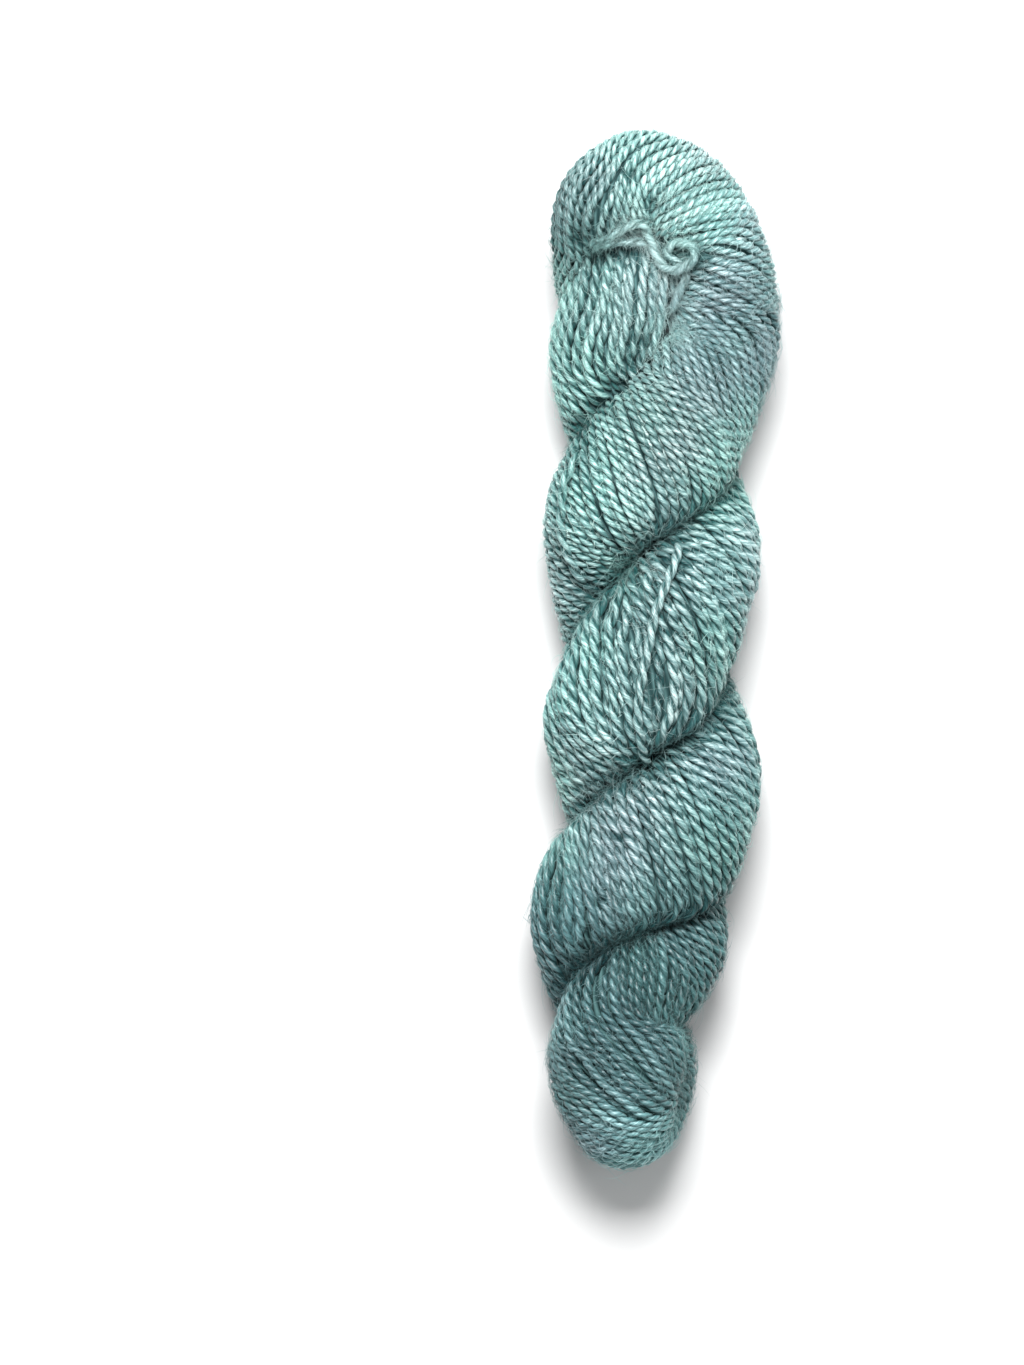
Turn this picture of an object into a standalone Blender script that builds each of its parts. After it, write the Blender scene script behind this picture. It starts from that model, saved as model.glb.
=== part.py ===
"""A twisted skein of two-ply yarn, lying on a flat surface with its head towards +Y.

One long bundle of yarn is folded in half, its two halves turn around each other like a rope, and
the loop at one end is opened over the other end, which is tucked through it. The bundle is lofted
along its whole wound route, and its pressed turns are fused into one solid. A short tie is knotted
over the edge of the head loop.

Metres, +Z up. The origin is on the surface, under the middle of the skein.
"""

import math

import bmesh
import bpy
import numpy as np
from mathutils import Vector
from mathutils.bvhtree import BVHTree

MM = 0.001

# The rope: how its middle runs, how far it reaches to each side, and how far it has turned.
AXIS_HEIGHT = 23.5 * MM
ROPE_FLATNESS = 0.87  # its depth against its width
CENTRE_SHARE = 0.43  # a half's middle from the rope's middle, as a share of the reach
OUTWARD_SHARE = 0.57  # half a half's depth, as a share of the reach
SIDEWAYS_SHARE = 0.68  # half its width, likewise
ROPE_COLUMNS = ("along", "axis_x", "reach", "turn", "lean")
ROPE_ROWS = (
    (108, 2.3, 30.0, -90, 0.10),
    (80, 1.5, 30.0, 0, 0.14),
    (51.5, -0.4, 29.5, 90, 0.15),
    (29.5, -0.8, 30.0, 180, 0.15),
    (-3.6, -2.0, 29.8, 270, 0.16),
    (-27.5, -0.5, 29.8, 360, 0.28),
    (-56, -1.6, 28.5, 450, 0.34),
    (-76, -6.8, 27.0, 540, 0.18),
    (-96.5, -9.6, 23.0, 630, 0.10),
)

# The bundle off the rope, in millimetres: its middle, which way is outward in the turn there, and
# half its depth along that way and half its width across it.
STATION_COLUMNS = ("x", "y", "z", "out_x", "out_y", "out_z", "half_out", "half_side")
HEAD_LOOP_ROWS = (
    (-2.0, 70.0, 12.0, -0.3, 0.0, -1.0, 8.0, 10.0),
    (-9.5, 81.0, 13.0, -0.7, 0.0, -0.7, 9.0, 11.5),
    (-15.5, 93.0, 18.0, -0.9, 0.1, -0.3, 10.0, 12.0),
    (-17.0, 106.5, 26.0, -1.0, 0.1, 0.1, 11.0, 12.5),
    (-12.8, 119.5, 34.0, -0.75, 0.65, 0.1, 14.0, 14.0),
    (-1.8, 125.5, 37.0, 0.0, 1.0, 0.1, 14.5, 14.0),
    (9.5, 119.5, 36.5, 0.7, 0.7, 0.0, 14.0, 14.0),
    (16.5, 107.5, 34.0, 0.97, 0.25, 0.0, 14.0, 15.0),
    (18.1, 94.3, 30.0, 1.0, 0.0, 0.0, 15.5, 17.0),
    (16.8, 81.5, 28.0, 0.97, 0.0, 0.25, 16.5, 18.5),
)
FOLD_ROWS = (
    (-6.5, -107.2, 13.0, 0.3, 0.0, -1.0, 11.0, 18.0),
    (-5.5, -119.5, 14.0, 0.3, -0.3, -1.0, 11.0, 17.0),
    (-7.4, -129.5, 22.0, 0.0, -1.0, 0.0, 11.0, 13.5),
    (-10.2, -119.5, 32.0, -0.25, -0.3, 1.0, 11.5, 17.5),
    (-10.2, -107.2, 33.0, -0.2, 0.0, 1.0, 11.5, 19.0),
)
TUCKED_END_ROWS = (
    (-8.9, 93.5, 29.0, -0.6, 0.0, 0.8, 15.0, 16.0),
    (-4.8, 103.5, 29.0, -0.4, 0.0, 0.9, 14.0, 15.0),
    (2.0, 114.0, 20.0, -0.2, -0.3, 0.9, 11.0, 14.0),
    (6.3, 123.9, 13.5, 0.0, 0.2, 1.0, 11.0, 13.0),
    (4.7, 130.0, 12.5, 0.0, 0.2, 1.0, 9.0, 11.0),
)
FIRST_HALF_TURNS = (45, 630)  # where the rope takes up each half of the bundle
SECOND_HALF_TURNS = (810, 180)
TURN_STEP = 45

ROPE_SAMPLES = 400
STATION_SAMPLES = 60
RING_GAP = 2.5 * MM
RING_SIDES = 36
END_ROUNDING = 9 * MM  # how far from its end the bundle starts to draw in
END_LEAST = 0.03  # how far into the rounding its first and last rings lie
PRESSED_OVERLAP = 0.8 * MM  # how far the two halves reach past their shared face
PRESS_SOFTNESS = 1.0 * MM
SOFT_LIMIT = 20  # past this many softnesses a soft floor is no longer felt
ROPE_SPAN = (-104 * MM, 66 * MM)  # where along Y the halves are pressed and lean
ROPE_EASE = 14 * MM

VOXEL = 1.6 * MM
EASE_ROUNDS = 6
FACE_SHARE = 0.13  # the share of the remeshed faces that are kept

TRIM_BLOCK = (0.2, 0.5, 0.05)  # the size of the block that trims the underside flat

# The tie's middle line in millimetres, and how far each point is held up by the strand under it.
TIE_COLUMNS = ("x", "y", "lift")
TIE_ROWS = (
    (-17.3, 106.7, 0.0),
    (-14.6, 108.6, 0.0),
    (-10.9, 110.7, 0.0),
    (-7.1, 112.9, 0.0),
    (-3.8, 113.4, 0.0),
    (-2.0, 110.6, 0.0),
    (-0.4, 106.5, 0.0),
    (1.7, 103.0, 0.3),
    (4.4, 101.3, 1.6),
    (7.7, 101.8, 2.8),
    (10.3, 104.3, 1.6),
    (9.9, 107.0, 0.0),
    (7.1, 108.4, 0.0),
    (4.2, 107.9, 0.0),
    (3.0, 106.0, 0.0),
    (4.9, 104.2, 0.0),
    (7.5, 102.1, 0.0),
    (8.2, 99.4, 0.0),
    (6.6, 96.2, 0.0),
    (5.3, 92.7, 0.0),
)
TIE_RADIUS = 1.1 * MM
TIE_CLEARANCE = 0.35 * MM
TIE_POINTS = 77
TIE_BRIDGE = 7  # how many points to each side a stretch of the tie spans a hollow with
DROP_FROM = 70 * MM
DROP_ROUNDS = 24

SKEIN_COLOUR = (0.30, 0.50, 0.46, 1.0)
TIE_COLOUR = (0.42, 0.60, 0.57, 1.0)


def smooth_rows(rows, at):
    """Catmull-Rom values of a table's columns at fractional row numbers."""
    rows = np.asarray(rows, float)
    last = len(rows) - 1
    at = np.clip(at, 0, last)
    i = np.minimum(at.astype(int), last - 1)
    t = (at - i)[:, None]
    before, after = rows[np.maximum(i - 1, 0)], rows[np.minimum(i + 2, last)]
    start, end = rows[i], rows[i + 1]
    return 0.5 * (
        2 * start
        + (end - before) * t
        + (2 * before - 5 * start + 4 * end - after) * t**2
        + (3 * start - before - 3 * end + after) * t**3
    )


def rope_columns():
    """The rope's table, smoothed, as named columns that run from its foot to its head."""
    fine = smooth_rows(ROPE_ROWS[::-1], np.linspace(0, len(ROPE_ROWS) - 1, ROPE_SAMPLES))
    return dict(zip(ROPE_COLUMNS, fine.T))


def rope_at(along):
    """The rope's middle in x, reach, turn in radians and lean at places along Y, in metres."""
    rope = rope_columns()
    axis_x, reach, turn, lean = (
        np.interp(np.asarray(along) / MM, rope["along"], rope[name]) for name in ROPE_COLUMNS[1:]
    )
    return axis_x * MM, reach * MM, np.radians(turn), lean


def in_rope(along):
    """How far a place along Y is in the rope, from 0 to 1, past which its turns are loose."""
    low = np.clip((along - ROPE_SPAN[0]) / ROPE_EASE, 0, 1)
    high = np.clip((ROPE_SPAN[1] - along) / ROPE_EASE, 0, 1)
    return low * high


def lean_over(points):
    """Slides the rope's right side down and its left side up, as the laid skein has slipped."""
    axis_x, _, _, lean = rope_at(points[..., 1])
    points[..., 1] -= lean * (points[..., 0] - axis_x) * in_rope(points[..., 1])
    return points


def rope_station(turn, half):
    """A station of half 0 or 1 of the bundle, where that half has turned that many degrees."""
    rope = rope_columns()
    along = np.interp(180 * half - turn, -rope["turn"], rope["along"]) * MM
    axis_x, reach, angle, _ = rope_at(along)
    angle += math.pi * half
    out = np.array([math.cos(angle), 0.0, math.sin(angle)])
    centre = np.array([axis_x, along, AXIS_HEIGHT])
    centre += out * (CENTRE_SHARE * reach) * (1, 1, ROPE_FLATNESS)
    half_out = OUTWARD_SHARE * reach * (1 - (1 - ROPE_FLATNESS) * out[2] ** 2)
    half_side = SIDEWAYS_SHARE * reach * (1 - (1 - ROPE_FLATNESS) * out[0] ** 2)
    return (*centre, *out, half_out, half_side)


def table_stations(rows):
    scale = [1 if name.startswith("out_") else MM for name in STATION_COLUMNS]
    return [tuple(np.array(row) * scale) for row in rows]


def bundle_stations():
    """Every station from the head loop's hidden leg, down the rope, round the fold and up again."""
    first_turns = np.arange(FIRST_HALF_TURNS[0], FIRST_HALF_TURNS[1] + 1, TURN_STEP)
    second_turns = np.arange(SECOND_HALF_TURNS[0], SECOND_HALF_TURNS[1] - 1, -TURN_STEP)
    return (
        table_stations(HEAD_LOOP_ROWS)
        + [rope_station(turn, 0) for turn in first_turns]
        + table_stations(FOLD_ROWS)
        + [rope_station(turn, 1) for turn in second_turns]
        + table_stations(TUCKED_END_ROWS)
    )


def unit(vectors):
    return vectors / np.linalg.norm(vectors, axis=-1, keepdims=True)


def bundle_frames(gap):
    """The bundle's middle line at even steps, with its outward and sideways directions and sizes."""
    stations = np.array(bundle_stations())
    samples = STATION_SAMPLES * len(stations)
    fine = smooth_rows(stations, np.linspace(0, len(stations) - 1, samples))
    steps = np.linalg.norm(np.diff(fine[:, :3], axis=0), axis=1)
    length = np.concatenate([[0], np.cumsum(steps)])
    at = np.linspace(0, length[-1], round(length[-1] / gap) + 1)
    even = np.stack([np.interp(at, length, column) for column in fine.T], axis=1)
    middle = even[:, :3]
    forward = unit(np.gradient(middle, axis=0))
    out = even[:, 3:6] - forward * (even[:, 3:6] * forward).sum(1, keepdims=True)
    out = unit(out)
    half_out, half_side = even[:, 6:].T
    return at, middle, out, np.cross(forward, out), half_out, half_side


def end_share(at, length):
    """How much of its section the bundle has, which goes round to nothing at its two ends."""
    near = np.minimum(at, length - at) / END_ROUNDING
    return np.sqrt(1 - (1 - np.clip(near, END_LEAST, 1)) ** 2)


def soft_floor(value, floor, softness):
    """value where it is well over floor, and floor where it is well under it."""
    over = (value - floor) / softness
    eased = floor + softness * np.log1p(np.exp(np.clip(over, -SOFT_LIMIT, SOFT_LIMIT)))
    return np.where(over > SOFT_LIMIT, value, eased)


def press_together(points, along_share):
    """Holds each half of the rope to its own side of the face where the halves meet."""
    axis_x, _, turn, _ = rope_at(points[..., 1])
    out = np.stack([np.cos(turn), np.zeros_like(turn), np.sin(turn)], axis=-1)
    axis = np.stack([axis_x, points[..., 1], np.full_like(axis_x, AXIS_HEIGHT)], axis=-1)
    first = np.where(along_share < 0.5, 1.0, -1.0)
    depth = ((points - axis) * out).sum(-1) * first
    pressed = soft_floor(depth, -PRESSED_OVERLAP, PRESS_SOFTNESS)
    share = in_rope(points[..., 1]) * (pressed - depth) * first
    return points + out * share[..., None]


def lofted_bundle():
    """The bundle as one closed tube along its wound route, with its turns still overlapping."""
    at, middle, out, side, half_out, half_side = bundle_frames(RING_GAP)
    share = end_share(at, at[-1])
    angle = np.linspace(0, 2 * math.pi, RING_SIDES, endpoint=False)
    rings = (
        middle[:, None]
        + out[:, None] * (np.cos(angle) * (half_out * share)[:, None])[..., None]
        + side[:, None] * (np.sin(angle) * (half_side * share)[:, None])[..., None]
    )
    along_share = np.broadcast_to((at / at[-1])[:, None], rings.shape[:2])
    rings = lean_over(press_together(rings, along_share))
    mesh = bmesh.new()
    loops = [[mesh.verts.new(point) for point in ring] for ring in rings]
    for below, above in zip(loops, loops[1:]):
        for k in range(RING_SIDES):
            after = (k + 1) % RING_SIDES
            mesh.faces.new((below[k], below[after], above[after], above[k]))
    mesh.faces.new(loops[0][::-1])
    mesh.faces.new(loops[-1])
    bmesh.ops.recalc_face_normals(mesh, faces=mesh.faces)
    data = bpy.data.meshes.new("skein_body")
    mesh.to_mesh(data)
    mesh.free()
    return bpy.data.objects.new("skein_body", data)


def cloth_material(name, colour):
    material = bpy.data.materials.new(name)
    material.use_nodes = True
    shader = material.node_tree.nodes["Principled BSDF"]
    shader.inputs["Base Color"].default_value = colour
    shader.inputs["Roughness"].default_value = 0.9
    shader.inputs["Metallic"].default_value = 0.0
    return material


def floor_cutter(collection):
    """A block under the surface that trims the skein's underside flat."""
    bpy.ops.mesh.primitive_cube_add(size=1.0)
    cutter = bpy.context.object
    cutter.name = "floor_cutter"
    cutter.scale = TRIM_BLOCK
    cutter.location = (0, 0, -TRIM_BLOCK[2] / 2)
    bpy.ops.object.transform_apply(location=True, scale=True)
    for owner in list(cutter.users_collection):
        owner.objects.unlink(cutter)
    collection.objects.link(cutter)
    cutter.hide_render = True
    cutter.display_type = "WIRE"
    return cutter


def make_skein(parts, cutters):
    skein = lofted_bundle()
    parts.objects.link(skein)
    fuse = skein.modifiers.new("fuse turns", "REMESH")
    fuse.mode = "VOXEL"
    fuse.voxel_size = VOXEL
    fuse.use_smooth_shade = True
    ease = skein.modifiers.new("soft creases", "SMOOTH")
    ease.factor = 0.5
    ease.iterations = EASE_ROUNDS
    thin = skein.modifiers.new("thin faces", "DECIMATE")
    thin.ratio = FACE_SHARE
    trim = skein.modifiers.new("flat underside", "BOOLEAN")
    trim.operation = "DIFFERENCE"
    trim.object = floor_cutter(cutters)
    skein.data.materials.append(cloth_material("teal yarn", SKEIN_COLOUR))
    return skein


def rest_height(surface, x, y):
    """The height at which the tie's middle clears the skein when it is let down at x, y."""
    low, high = 0.0, DROP_FROM
    for _ in range(DROP_ROUNDS):
        height = (low + high) / 2
        inside = surface.ray_cast(Vector((x, y, height)), Vector((0, 0, 1)))[0] is not None
        distance = surface.find_nearest(Vector((x, y, height)))[3]
        if inside or distance < TIE_RADIUS + TIE_CLEARANCE:
            low = height
        else:
            high = height
    return high


def tie_points(skein):
    """The tie's middle line, let down on the skein and spanning the hollows under it."""
    surface = BVHTree.FromObject(skein, bpy.context.evaluated_depsgraph_get())
    route = smooth_rows(TIE_ROWS, np.linspace(0, len(TIE_ROWS) - 1, TIE_POINTS)) * MM
    rest = np.array([rest_height(surface, x, y) for x, y, _ in route])
    padded = np.pad(rest, TIE_BRIDGE, mode="edge")
    windows = np.lib.stride_tricks.sliding_window_view(padded, 2 * TIE_BRIDGE + 1)
    heights = np.maximum(rest, windows.mean(axis=1)) + route[:, 2]
    return np.column_stack([route[:, :2], heights])


def make_tie(parts, skein):
    points = tie_points(skein)
    curve = bpy.data.curves.new("tie", "CURVE")
    curve.dimensions = "3D"
    curve.bevel_depth = TIE_RADIUS
    curve.bevel_resolution = 2
    curve.use_fill_caps = True
    spline = curve.splines.new("POLY")
    spline.points.add(len(points) - 1)
    for place, point in zip(spline.points, points):
        place.co = (*point, 1.0)
    tie = bpy.data.objects.new("tie", curve)
    curve.materials.append(cloth_material("pale teal yarn", TIE_COLOUR))
    parts.objects.link(tie)
    return tie


def main():
    for old in list(bpy.data.objects):
        bpy.data.objects.remove(old, do_unlink=True)
    parts = bpy.data.collections.new("skein_of_yarn")
    cutters = bpy.data.collections.new("cutters")
    bpy.context.scene.collection.children.link(parts)
    bpy.context.scene.collection.children.link(cutters)
    skein = make_skein(parts, cutters)
    make_tie(parts, skein)


main()
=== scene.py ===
"""The looks of a twisted skein of two-ply yarn: its plies, its soft core, its loose hairs and its tie."""

import math
from collections import namedtuple

import bpy
import numpy as np
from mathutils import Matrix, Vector
from mathutils.bvhtree import BVHTree


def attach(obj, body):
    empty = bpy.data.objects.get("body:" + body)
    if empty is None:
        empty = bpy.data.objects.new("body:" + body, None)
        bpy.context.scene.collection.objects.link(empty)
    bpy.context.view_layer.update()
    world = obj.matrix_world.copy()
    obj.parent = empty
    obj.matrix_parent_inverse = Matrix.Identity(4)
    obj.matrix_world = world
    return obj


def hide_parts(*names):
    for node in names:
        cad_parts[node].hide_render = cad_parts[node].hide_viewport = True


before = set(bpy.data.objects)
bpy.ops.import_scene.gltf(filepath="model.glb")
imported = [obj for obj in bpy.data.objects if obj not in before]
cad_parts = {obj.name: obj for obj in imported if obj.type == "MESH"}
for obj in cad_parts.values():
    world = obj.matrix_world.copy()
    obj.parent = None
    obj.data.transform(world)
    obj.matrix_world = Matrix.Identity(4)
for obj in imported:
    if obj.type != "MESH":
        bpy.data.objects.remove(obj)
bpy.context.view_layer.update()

MM = 0.001
SEED = 11

# The picture's frame: its size in pixels, a pixel's real size, and the pixel over the origin.
IMAGE_SIZE = (1024, 1365)
PIXEL = 0.2687 * MM
ORIGIN_PIXEL = (654.5, 651.0)
CAMERA_HEIGHT = 2.4
SCALE_HEIGHT = 0.025  # the height over the floor where a pixel has that size

# The rope: how its middle runs, how far it reaches to each side, and how far it has turned.
AXIS_HEIGHT = 23.5 * MM
ROPE_FLATNESS = 0.87  # its depth against its width
CENTRE_SHARE = 0.43  # a half's middle from the rope's middle, as a share of the reach
OUTWARD_SHARE = 0.57  # half a half's depth, as a share of the reach
SIDEWAYS_SHARE = 0.68  # half its width, likewise
ROPE_COLUMNS = ("along", "axis_x", "reach", "turn", "lean")
ROPE_ROWS = (
    (108, 2.3, 30.0, -90, 0.10),
    (80, 1.5, 30.0, 0, 0.14),
    (51.5, -0.4, 29.5, 90, 0.15),
    (29.5, -0.8, 30.0, 180, 0.15),
    (-3.6, -2.0, 29.8, 270, 0.16),
    (-27.5, -0.5, 29.8, 360, 0.28),
    (-56, -1.6, 28.5, 450, 0.34),
    (-76, -6.8, 27.0, 540, 0.18),
    (-96.5, -9.6, 23.0, 630, 0.10),
)

# The bundle off the rope, in millimetres: its middle, which way is outward in the turn there, half
# its depth along that way, half its width across it, and its yarns' twist in degrees a millimetre.
STATION_COLUMNS = ("x", "y", "z", "out_x", "out_y", "out_z", "half_out", "half_side", "twist")
HEAD_LOOP_ROWS = (
    (-2.0, 70.0, 12.0, -0.3, 0.0, -1.0, 8.0, 10.0, 0.0),
    (-9.5, 81.0, 13.0, -0.7, 0.0, -0.7, 9.0, 11.5, 1.5),
    (-15.5, 93.0, 18.0, -0.9, 0.1, -0.3, 10.0, 12.0, 2.5),
    (-17.0, 106.5, 26.0, -1.0, 0.1, 0.1, 11.0, 12.5, 2.5),
    (-12.8, 119.5, 34.0, -0.75, 0.65, 0.1, 14.0, 14.0, -1.5),
    (-1.8, 125.5, 37.0, 0.0, 1.0, 0.1, 14.5, 14.0, -8.0),
    (9.5, 119.5, 36.5, 0.7, 0.7, 0.0, 14.0, 14.0, -11.0),
    (16.5, 107.5, 34.0, 0.97, 0.25, 0.0, 14.0, 15.0, -7.0),
    (18.1, 94.3, 30.0, 1.0, 0.0, 0.0, 15.5, 17.0, -4.6),
    (16.8, 81.5, 28.0, 0.97, 0.0, 0.25, 16.5, 18.5, -4.4),
)
FOLD_ROWS = (
    (-6.5, -107.2, 13.0, 0.3, 0.0, -1.0, 11.0, 18.0, -5.5),
    (-5.5, -119.5, 14.0, 0.3, -0.3, -1.0, 11.0, 17.0, -6.5),
    (-7.4, -129.5, 22.0, 0.0, -1.0, 0.0, 11.0, 13.5, -13.0),
    (-10.2, -119.5, 32.0, -0.25, -0.3, 1.0, 11.5, 17.5, -7.5),
    (-10.2, -107.2, 33.0, -0.2, 0.0, 1.0, 11.5, 19.0, -3.3),
)
TUCKED_END_ROWS = (
    (-8.9, 93.5, 29.0, -0.6, 0.0, 0.8, 15.0, 16.0, -3.6),
    (-4.8, 103.5, 29.0, -0.4, 0.0, 0.9, 14.0, 15.0, -3.0),
    (2.0, 114.0, 20.0, -0.2, -0.3, 0.9, 11.0, 14.0, -3.0),
    (6.3, 123.9, 13.5, 0.0, 0.2, 1.0, 11.0, 13.0, -3.0),
    (4.7, 130.0, 12.5, 0.0, 0.2, 1.0, 9.0, 11.0, -3.0),
)
# The yarns' twist in each half of the rope, in degrees a millimetre, by how far that half has turned.
FIRST_TWIST_ROWS = (
    (0, -4.0), (45, -8.0), (90, -8.5), (135, -10.5), (180, -12.5), (225, -12.5), (270, -9.0),
    (360, -8.5), (405, -8.5), (450, -8.0), (495, -8.0), (540, -7.5), (630, -6.5),
)
SECOND_TWIST_ROWS = (
    (180, -4.2), (225, -5.2), (270, -6.5), (315, -7.0), (360, -9.5), (405, -8.5), (450, -4.4),
    (495, -5.8), (540, -5.8), (630, -12.5), (700, -15.0), (765, -8.5), (810, -5.0),
)
FIRST_HALF_TURNS = (45, 630)  # where the rope takes up each half of the bundle
SECOND_HALF_TURNS = (810, 180)
TURN_STEP = 45
# Where the head loop's inner side has slipped down: its place and reach in X and Y, and how far.
SLIP = (7.0 * MM, 97.0 * MM, 11.0 * MM, 12.0 * MM, 3.6 * MM)
SLIP_SHARE = 0.3  # the part of the bundle's length that has slipped with it
ROPE_SAMPLES = 400
STATION_SAMPLES = 60
ROPE_SPAN = (-104 * MM, 66 * MM)  # where along Y the halves are pressed and lean
ROPE_EASE = 14 * MM
PRESS_SOFTNESS = 1.0 * MM
FLOOR_SOFTNESS = 0.4 * MM
SOFT_LIMIT = 20  # past this many softnesses a soft floor is no longer felt
NOISE_DEVIATION = 0.58  # the standard deviation of a slow random number

# The yarn.
YARNS = 52
YARN_RADIUS = 1.55 * MM
PRESSED_RADIUS = 0.8 * YARN_RADIUS
REST_HEIGHT = 1.85 * MM  # a yarn's middle over the floor where it lies on it
PLY_TURN = 10.0 * MM
TIGHT_TURN = 6.6 * MM  # one turn where the yarns are pulled tight
YARN_PLIES = (0.80 * MM, 0.67 * MM, PLY_TURN)  # a ply's radius, its middle off the yarn's, one turn
TIE_PLIES = (0.95 * MM, 0.50 * MM, 10.0 * MM)
PLY_SIDES = 5
STEPS_A_TURN = 11
PLY_FLATNESS = (0.9, 1.1)  # a ply's depth and width against its radius
PLY_ROUGHNESS = (0.92, 1.08)
PLY_SWELLS = ((0.07, 9 * MM), (0.05, 3.5 * MM))  # how much a ply swells, and after how far again
PLY_TAPER = 1.5 * MM  # how far from its ends a ply starts to thin
LEAST_TAPER = 0.04
TWIST_SWAY = (0.25, 5.3)  # turns a ply gets ahead or behind, in a wave of so many turns a radian
FIBRE_SLANT = 0.315  # how fast the fibres turn round a ply, against its length in radii
PLY_APART = 37.0  # sets each ply's fibres apart from the next one's
YARN_WIDTH = 3.3 * MM
NARROWING = (0.72, 1.12)  # how far a yarn narrows or widens with its room
TALL_POWER = -0.4  # its height goes with that width to this power
THICK_POWER = 0.6  # and its plies' thickness to this one
YARN_GAP = 3.6 * MM  # what a yarn takes across where it lies loose
TIGHT_GAP = 2.4 * MM  # likewise where the yarns are pulled tight
# How tight the yarns of each half are pulled at places along Y in millimetres, from 0 to 1.
FIRST_TIGHT_ROWS = (
    (-110, 1.0), (-95, 0.6), (-75, 0.1), (-35, 0.2), (0, 0.7), (40, 0.9), (88, 0.9), (108, 1.0),
)
SECOND_TIGHT_ROWS = (
    (-110, 1.0), (-95, 0.9), (-80, 0.7), (-50, 0.2), (-15, 0.0), (12, 0.0), (35, 0.6), (60, 0.3),
    (130, 0.3),
)
WIDEST_GAP = 1.3  # how far a yarn spreads where there is room, as a multiple
LAYER_DEPTH = 1.7 * MM  # how far a yarn sinks where others take its place
LEAST_SHARE = 0.2  # of the yarns in the outer layer
SUNK_WIDTH = 0.08  # the share of a place that a sunk yarn still takes across
RANK_STEP = 0.618034  # spreads the yarns that sink first evenly round the bundle
RANK_EASE = 0.05
NEIGHBOURS = 6  # how many yarns to each side share out the room
UNDER_LAYER = 0.28  # the share of the yarns that shows in the gaps of the outer layer
LAYER_EASE = 300  # rounds of easing along the yarns, here and in the next two
PATH_EASE = 8
ROOM_EASE = 20
# How far the yarns stray from even places, in places, and how far along until they do so anew.
NEAR_STRAY, NEAR_WAVE = 0.16, 25 * MM
FAR_STRAY, FAR_WAVE = 0.9, 70 * MM
FAR_SPREAD = 8  # rounds in which neighbours come to stray alike
UNEVEN_DEPTH, UNEVEN_WAVE = 0.38 * MM, 24 * MM  # likewise how much deeper or higher they lie
BUNDLE_STEP = 0.5 * MM
BURIED = 4.5 * MM  # how deep under the skein's surface a yarn is left out
LEAST_RUN = 8 * MM
DEPTH_EVERY = 4  # a yarn's depth is measured at one in so many of its points
PIECES = 5

END_LENGTH = 9 * MM  # how far from each end the bundle starts to round off
LEAST_END = 0.03  # the share of that length at which the rounding is cut off
CORE_DEPTH = 2.6 * MM
CORE_PRESSED_GAP = -0.3 * MM  # the two halves' inner yarns overlap where they are pressed
CORE_REST_HEIGHT = 0.3 * MM
CORE_SLANT = 0.8  # how many plies the inner yarns' shading shifts from one to the next
CORE_RIDGE = 0.8 * MM  # from the inner yarns' crests down to the grooves between them
CORE_GAP = 2.5 * MM
CORE_RIDGES = 36
SIDES_A_RIDGE = 3

# Wool's colours, from the dark between its fibres over the middle to the light.
SKEIN_WOOL = ((0.05, 0.12, 0.125), (0.175, 0.315, 0.315), (0.61, 0.77, 0.755))
HAIR_WOOL = ((0.25, 0.38, 0.38), (0.42, 0.58, 0.57), (0.70, 0.84, 0.82))
TIE_WOOL = ((0.12, 0.20, 0.20), (0.25, 0.37, 0.375), (0.47, 0.61, 0.61))
# the inner yarns are darker than the outer ones: painted shade
INNER_WOOL = ((0.015, 0.045, 0.046), (0.07, 0.15, 0.15))
WOOL_STOPS = (0.33, 0.5, 0.68)
SKEIN_SHINE = 0.8
TIE_SHINE = 0.3
# Painted shade: the shine where it is deepest, its tint, and where it is all there.
PAINTED_SHADE_SHINE = 0.2
PAINTED_SHADE_TINT = (0.08, 0.19, 0.195)  # painted shade over the wool down between the plies and in the creases and hollows
PAINTED_SHADE_FULL_AT = -0.3  # the value of the light attribute at which all of the painted shade is there
FIBRE_STRETCH = (1.6, 1.6, 0.2)  # round a ply, and along it
STREAK_SHARE = 0.9  # how much of the colour the fibres' streaks make up
TONE_SHARE, TONE_SHIFT = 0.06, 0.05  # and how much each yarn's own tone
INNER_WAVE = 0.3142  # one stripe a ply
GREEN_TINT = (0.84, 1.06, 0.99)
GREEN_SPAN = (0.42, 0.6)  # the noise values between which it comes in
LOWER_TINT = (0.66, 0.74, 0.79)  # over the skein's lower part
LOWER_SPAN = (-40 * MM, -100 * MM)

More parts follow.
